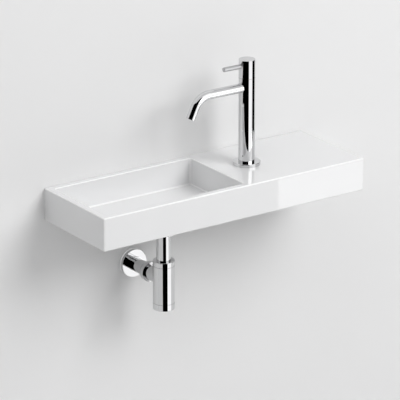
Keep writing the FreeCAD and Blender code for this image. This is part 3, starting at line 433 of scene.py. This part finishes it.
SPOUT_START = TAP_AXIS[0] - 10.2 * MM
SPOUT_LEVEL = 180 * MM
SPOUT_RADIUS = 8.7 * MM
SPOUT_BORE = 6.5 * MM
SPOUT_RUN = 72.8 * MM
SPOUT_BEND = 32.5 * MM
SPOUT_ANGLE = math.radians(64.5)
SPOUT_TAIL = 22 * MM
SPOUT_LIP = 0.8 * MM
SPOUT_POINTS = 64
SPOUT_ROWS = 90
LIP_ROWS = 13


def spout():
    """A tube carried along its middle line: out along -X, round an arc, then straight on. At a distance
    along the line the direction has turned down by (distance - run) / bend radius, between 0 and the bend's
    angle. The section's rows go out along the outside, over the rounded lip and back along the bore."""
    arc = SPOUT_BEND * SPOUT_ANGLE
    length = SPOUT_RUN + arc + SPOUT_TAIL
    way = np.linspace(0, np.pi, LIP_ROWS)
    middle = (SPOUT_RADIUS + SPOUT_BORE) / 2
    half_wall = (SPOUT_RADIUS - SPOUT_BORE) / 2
    lip_radius = middle + half_wall * signed_root(np.cos(way))
    lip_distance = length - SPOUT_LIP + SPOUT_LIP * np.sqrt(np.abs(np.sin(way)))
    out = np.linspace(0, length - SPOUT_LIP, SPOUT_ROWS)[:-1]
    distance = np.concatenate([out, lip_distance, out[::-1]])[:, None]
    outside, bore = np.full_like(out, SPOUT_RADIUS), np.full_like(out, SPOUT_BORE)
    radius = np.concatenate([outside, lip_radius, bore])[:, None]
    turn = np.clip((distance - SPOUT_RUN) / SPOUT_BEND, 0, SPOUT_ANGLE)
    after = np.maximum(distance - SPOUT_RUN - arc, 0)
    reach = np.minimum(distance, SPOUT_RUN) + SPOUT_BEND * np.sin(turn) + after * np.cos(turn)
    drop = SPOUT_BEND * (1 - np.cos(turn)) + after * np.sin(turn)
    angle = around(SPOUT_POINTS)
    lift = radius * np.sin(angle)
    return np.stack([SPOUT_START - reach - lift * np.sin(turn),
                     TAP_AXIS[1] - radius * np.cos(angle),
                     SPOUT_LEVEL - drop + lift * np.cos(turn)], axis=-1)


build("bent_spout", [spout()], chrome, "spout_tube", "fixed")
dress(plastic, "spout_aerator")

# Valve
# A screwed-in brass housing with two lapped ceramic discs under a brass spindle. A quarter turn of the upper
# disc brings its ports over those of the lower one. Rubber rings seal the seat and the spindle.

SPINDLE_RING_RADII = (4.05 * MM, 5.9 * MM)
SPINDLE_RING_FACES = (205.95 * MM, 208.05 * MM)

alumina = Finish("lapped_ceramic", IOR=1.7)
alumina.tones(alumina.drift(120.0), (0.82, 0.79, 0.72), (0.77, 0.74, 0.67))
alumina.feed("Roughness", alumina.drift(260.0, low=0.09, high=0.17))
alumina.bump(alumina.drift(2000.0), depth=0.003 * MM)

spindle_ring = ring_seal(SPINDLE_RING_RADII, SPINDLE_RING_FACES, TAP_AXIS, "Z")
build("spindle_seal", [spindle_ring], rubber, "spindle_ring", "fixed")
dress(brass, "valve_body", "valve_spindle")
dress(alumina, "fixed_disc", "turning_disc")
dress(rubber, "valve_seat_seal")

# Turning cap and lever
# The column's chromed top turns on the spindle, and a fine seam parts it from the column. A round lever of
# satin chrome, which shows plain grey, is screwed through the cap's side into the spindle.

satin = Finish("satin_chrome", Metallic=1.0)
satin.tones(satin.drift(60.0), (0.54, 0.542, 0.548), (0.50, 0.502, 0.508))
satin.feed("Roughness", satin.drift(300.0, low=0.28, high=0.36))

dress(chrome, "tap_cap")
dress(satin, "lever_pin")

# Waste
# A flanged brass tail through the bowl's floor, chromed, with a pierced strainer held by one slotted screw.
# A hexagon nut clamps it from below between two rubber seals.

WASTE_AXIS = (-247 * MM, -102 * MM)
TAIL_RADIUS = 20.95 * MM
BACK_NUT_FLATS = 51.9 * MM
BACK_NUT_FACES = (-37 * MM, -29 * MM)

back_nut = hexagon_nut(TAIL_RADIUS, BACK_NUT_FLATS, *BACK_NUT_FACES, WASTE_AXIS, "Z")
build("waste_hexagon", [back_nut], brass, "waste_back_nut", "fixed")
dress(chrome, "waste_body", "waste_strainer")
dress(zinc, "strainer_screw")
dress(rubber, "waste_top_seal", "waste_lower_seal")

# Bottle trap
# Chromed brass, turned or drawn: a downpipe in a union nut, the bottle with its ring nut, and a nut on the
# outlet. The cap under the bottle unscrews for cleaning and takes its ring seal with it.

CAP_RING_RADII = (15.6 * MM, 17.1 * MM)
CAP_RING_FACES = (-186.45 * MM, -184.35 * MM)

cap_seal = ring_seal(CAP_RING_RADII, CAP_RING_FACES, WASTE_AXIS, "Z")
build("cap_ring", [cap_seal], rubber, "cap_seal", "cap_travel")
dress(chrome, "trap_union_nut", "trap_downpipe", "bottle_top_nut", "bottle_body", "bottle_cap")
dress(chrome, "outlet_nut", "outlet_pipe")
dress(rubber, "trap_union_seal", "bottle_top_seal", "outlet_seal")

# Wall rosette
# A spun cover plate, chromed, that slides on the outlet pipe and hides the hole in the wall.
# A rubber ring in its collar holds it where it is pushed.

OUTLET_AXIS = (-247 * MM, -144 * MM)
ROSETTE_RING_RADII = (13.0 * MM, 14.85 * MM)
ROSETTE_RING_FACES = (-6.3 * MM, -4.2 * MM)

rosette_ring = ring_seal(ROSETTE_RING_RADII, ROSETTE_RING_FACES, OUTLET_AXIS, "Y")
build("rosette_seal", [rosette_ring], rubber, "rosette_ring", "rosette")
dress(chrome, "wall_rosette")

# Wall
# A smooth painted wall that the basin hangs on. It only shows from the room's side, so that the basin's back
# can be looked at too, and it lets light past within a few millimetres, so that the back isn't black.

WALL_OFFSET = 0.6 * MM
WALL_REACH = 10
WALL_TOP = 4
FLOOR = -0.85
CLEAR_WITHIN = 4 * MM


def plane(name, corners):
    """A flat sheet through four corners."""
    mesh = bpy.data.meshes.new(name)
    mesh.from_pydata(corners, [], [(0, 1, 2, 3)])
    item = bpy.data.objects.new(name, mesh)
    scene.collection.objects.link(item)
    return item


def show_instead(finish, shader, share):
    """Show another shader in place of the material's own, by a share from 0 to 1."""
    tree = finish.tree
    blend = tree.nodes.new("ShaderNodeMixShader")
    tree.links.new(share, blend.inputs["Fac"])
    tree.links.new(finish.shader.outputs["BSDF"], blend.inputs[1])
    tree.links.new(shader.outputs[0], blend.inputs[2])
    tree.links.new(blend.outputs["Shader"], tree.nodes["Material Output"].inputs["Surface"])


wall = plane("wall", [(-WALL_REACH, WALL_OFFSET, FLOOR), (WALL_REACH, WALL_OFFSET, FLOOR),
                      (WALL_REACH, WALL_OFFSET, WALL_TOP), (-WALL_REACH, WALL_OFFSET, WALL_TOP)])
paint = Finish("wall_paint", Roughness=0.9, Specular_IOR_Level=0.0)
paint.tones(paint.drift(3.0), (0.84, 0.84, 0.84), (0.83, 0.83, 0.83))
way_in = paint.tree.nodes.new("ShaderNodeLightPath")
side = paint.tree.nodes.new("ShaderNodeNewGeometry")
clear = paint.tree.nodes.new("ShaderNodeBsdfTransparent")
close_by = calculate(paint.tree, "LESS_THAN", way_in.outputs["Ray Length"], CLEAR_WITHIN)
show_instead(paint, clear, calculate(paint.tree, "MAXIMUM", close_by, side.outputs["Backfacing"]))
wall.data.materials.append(paint.material)

# Floor
# A plain pale floor, as far below the basin as a washroom's floor lies. What the camera and the mirrors see
# of it is in part an even pale tone, so that it is pale from every side, and in part lit, so that the
# object's shadow stays on it.

FLOOR_REACH = 20
PALE = (0.73, 0.73, 0.735, 1)
PALE_SHARE = 0.6


def seen_directly(tree):
    """1 for what the camera sees, straight, mirrored or through glass, and 0 for light on its way round."""
    path = tree.nodes.new("ShaderNodeLightPath")
    straight, mirrored = path.outputs["Is Camera Ray"], path.outputs["Is Glossy Ray"]
    either = calculate(tree, "MAXIMUM", straight, mirrored)
    return calculate(tree, "MAXIMUM", either, path.outputs["Is Transmission Ray"])


floor = plane("floor", [(-FLOOR_REACH, -FLOOR_REACH, FLOOR), (FLOOR_REACH, -FLOOR_REACH, FLOOR),
                        (FLOOR_REACH, FLOOR_REACH, FLOOR), (-FLOOR_REACH, FLOOR_REACH, FLOOR)])
screed = Finish("floor_paint", Roughness=0.9, Specular_IOR_Level=0.0)
screed.tones(screed.drift(2.0), (0.78, 0.78, 0.78), (0.77, 0.77, 0.77))
even_tone = screed.tree.nodes.new("ShaderNodeEmission")
even_tone.inputs["Color"].default_value = PALE
show_instead(screed, even_tone, calculate(screed.tree, "MULTIPLY", seen_directly(screed.tree), PALE_SHARE))
screed.material.cycles.emission_sampling = "NONE"
floor.data.materials.append(screed.material)

# Reflection cards
# White and black sheets round the set that only mirror-like surfaces see. They give the chrome its crisp
# bands, the deck a white streak below the tap, and the basin's front a brighter zone at its right end.


def card(name, start, end, low, high, glow):
    """An upright sheet over the line from start to end on the floor plan, that shows in reflections only.
    Without glow it is black."""
    item = plane(name, [(*start, low), (*end, low), (*end, high), (*start, high)])
    material = bpy.data.materials.new(name)
    material.use_nodes = True
    tree = material.node_tree
    shine = tree.nodes.new("ShaderNodeEmission")
    shine.inputs["Color"].default_value = (1, 1, 1, 1)
    shine.inputs["Strength"].default_value = glow
    tree.links.new(shine.outputs["Emission"], tree.nodes["Material Output"].inputs["Surface"])
    material.cycles.emission_sampling = "NONE"
    item.data.materials.append(material)
    item.visible_camera = False
    item.visible_diffuse = False
    item.visible_transmission = False
    item.visible_shadow = False


card("front_card", start=(-0.18, -0.836), end=(0.52, -0.81), low=-0.65, high=1.10, glow=1.3)
card("strip_card", start=(-0.18, -0.826), end=(0.52, -0.80), low=0.28, high=0.48, glow=2.6)
card("bright_card", start=(0.345, -0.75), end=(0.62, -0.76), low=-0.31, high=-0.20, glow=3.5)
card("dark_left", start=(-1.30, -0.02), end=(-0.937, -0.768), low=-0.32, high=1.00, glow=0.0)
card("dark_middle", start=(-0.937, -0.768), end=(-0.18, -0.836), low=-0.84, high=1.00, glow=0.0)
card("dark_right", start=(0.50, -0.67), end=(0.80, -0.06), low=-0.30, high=0.38, glow=0.0)

# Lamps
# Two soft lamps at the right front, one high and one low, throw the shadows to the left on the wall, and a
# weaker one from the upper left fills them. One behind the wall lights the basin's back alone.

LAMP_AIM = Vector((-0.15, -0.1, 0.0))
LAMP_DISTANCE = 4.5
ROOM_LIGHT = (0.15, 0.15, 0.152, 1)


def lamp(name, way, size, power):
    """A square lamp that looks at the basin along a given way, and that neither camera nor mirrors see."""
    light = bpy.data.lights.new(name, "AREA")
    light.shape = "SQUARE"
    light.size = size
    light.energy = power
    item = bpy.data.objects.new(name, light)
    way = Vector(way).normalized()
    item.location = LAMP_AIM + way * LAMP_DISTANCE
    item.rotation_euler = way.to_track_quat("Z", "Y").to_euler()
    item.visible_camera = False
    item.visible_glossy = False
    scene.collection.objects.link(item)


lamp("key_lamp", way=(0.45, -1.0, 0.9), size=2.8, power=124)
lamp("low_lamp", way=(0.45, -1.0, 0.5), size=2.8, power=29)
lamp("left_lamp", way=(-0.8, -0.6, 1.2), size=3.2, power=40)
lamp("back_lamp", way=(0.2, 1.0, 0.0), size=2.8, power=60)

world = bpy.data.worlds.new("studio")
scene.world = world
world.use_nodes = True
sky = world.node_tree.nodes["Background"]
tone = world.node_tree.nodes.new("ShaderNodeMix")
tone.data_type = "RGBA"
tone.inputs["A"].default_value = ROOM_LIGHT
tone.inputs["B"].default_value = PALE
world.node_tree.links.new(seen_directly(world.node_tree), tone.inputs["Factor"])
world.node_tree.links.new(tone.outputs["Result"], sky.inputs["Color"])
